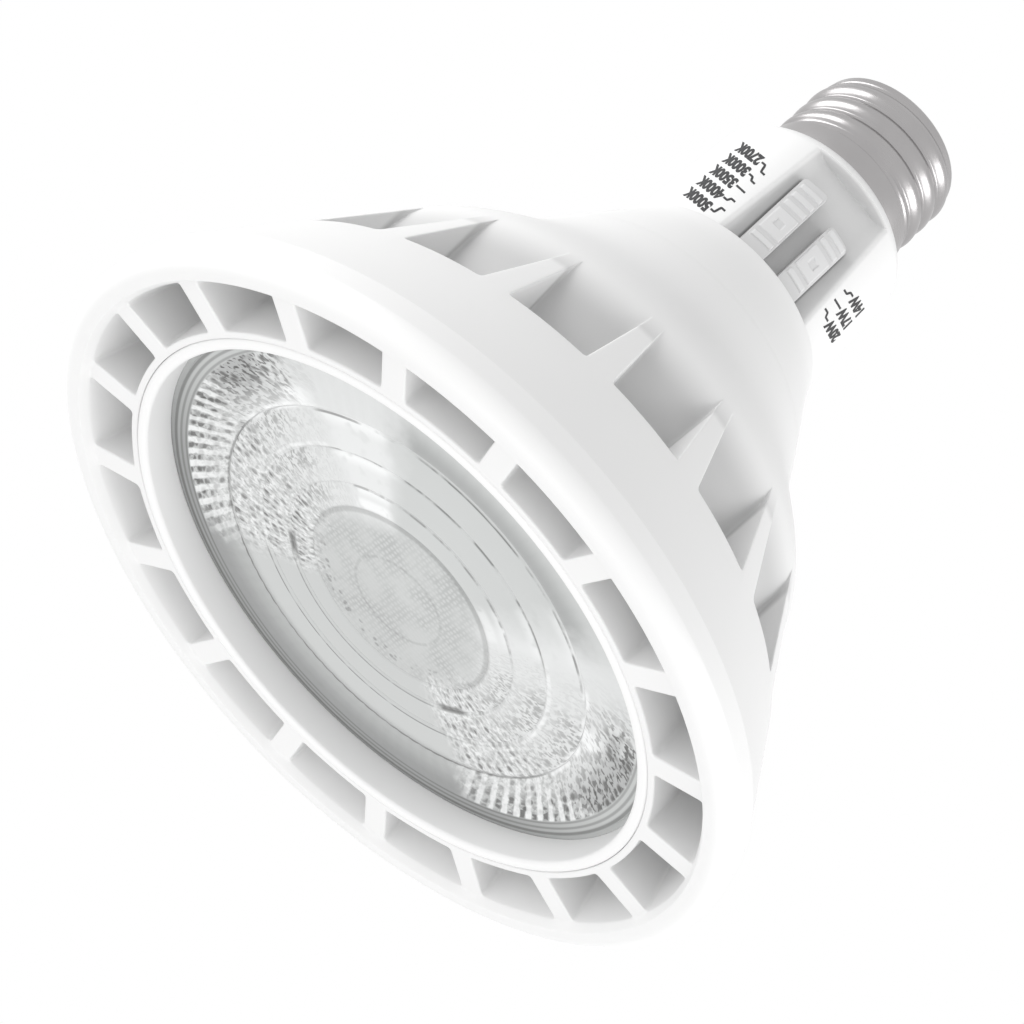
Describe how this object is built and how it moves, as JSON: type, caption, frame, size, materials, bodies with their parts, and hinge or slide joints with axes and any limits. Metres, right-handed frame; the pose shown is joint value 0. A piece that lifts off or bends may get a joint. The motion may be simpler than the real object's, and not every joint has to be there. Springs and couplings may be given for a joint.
{
  "type": "par spotlight bulb",
  "caption": "Reflector-shaped LED lamp with a ribbed vented housing, clear front lens, slide selectors in the neck and a screw base.",
  "frame": {"origin": "centre of the front rim, on the plane that the lamp stands on when it is put down on its face", "axes": "+Z along the lamp's axis from the front rim to the screw base, -Y out through the selector recess in the neck"},
  "size_m": [0.1206, 0.1206, 0.1274],
  "materials": {
    "white_plastic": "satin moulded",
    "clear_optic": "clear moulded optic",
    "seal_silicone": "matt",
    "spun_aluminium": "spun",
    "plated_steel": "zinc plated",
    "board_white": "white solder mask",
    "phosphor": "matt",
    "board_green": "green solder mask",
    "black_moulding": "matt",
    "tinned_metal": "tinned",
    "ferrite": "sintered",
    "coil_tape": "polyester tape",
    "can_sleeve": "shrink sleeve",
    "film_box": "moulded box",
    "enamelled_copper": "enamelled",
    "resistor_coat": "lacquered",
    "varistor_coat": "epoxy coat",
    "wire_white": "insulation",
    "wire_black": "insulation",
    "wire_red": "insulation",
    "nickel_plate": "bright nickel",
    "vitrite": "black glassy insulator",
    "solder_brass": "tinned brass"
  },
  "bodies": {
    "lamp": {"vented_housing": "white_plastic", "front_bezel": "white_plastic", "lens": "clear_optic", "lens_gasket": "seal_silicone", "heat_sink": "spun_aluminium", "heat_sink_screws": "plated_steel", "led_board": "board_white", "led_packages": "phosphor", "led_board_screws": "plated_steel", "neck_housing": "white_plastic", "colour_switch_body": "plated_steel", "power_switch_body": "plated_steel", "switch_board": "board_green", "switch_board_screws": "plated_steel", "switch_link_pins": "tinned_metal", "driver_board": "board_green", "transformer_core": "ferrite", "transformer_coil": "coil_tape", "bulk_capacitor": "can_sleeve", "film_capacitor": "film_box", "input_choke": "enamelled_copper", "fuse_resistor": "resistor_coat", "varistor": "varistor_coat", "bridge_rectifier": "black_moulding", "driver_chips": "black_moulding", "led_wires": "wire_red", "live_wire": "wire_black", "neutral_wire": "wire_white", "screw_shell": "nickel_plate", "base_insulator": "vitrite", "centre_contact": "solder_brass"},
    "colour_selector": {"colour_slider": "white_plastic", "colour_switch_knob": "black_moulding"},
    "power_selector": {"power_slider": "white_plastic", "power_switch_knob": "black_moulding"}
  },
  "joints": [
    {"name": "colour_slide", "type": "slide", "parent": "lamp", "child": "colour_selector", "axis": [0, 0, 1], "range_m": [-0.005, 0.005]},
    {"name": "power_slide", "type": "slide", "parent": "lamp", "child": "power_selector", "axis": [0, 0, 1], "range_m": [-0.0025, 0.0025]}
  ]
}
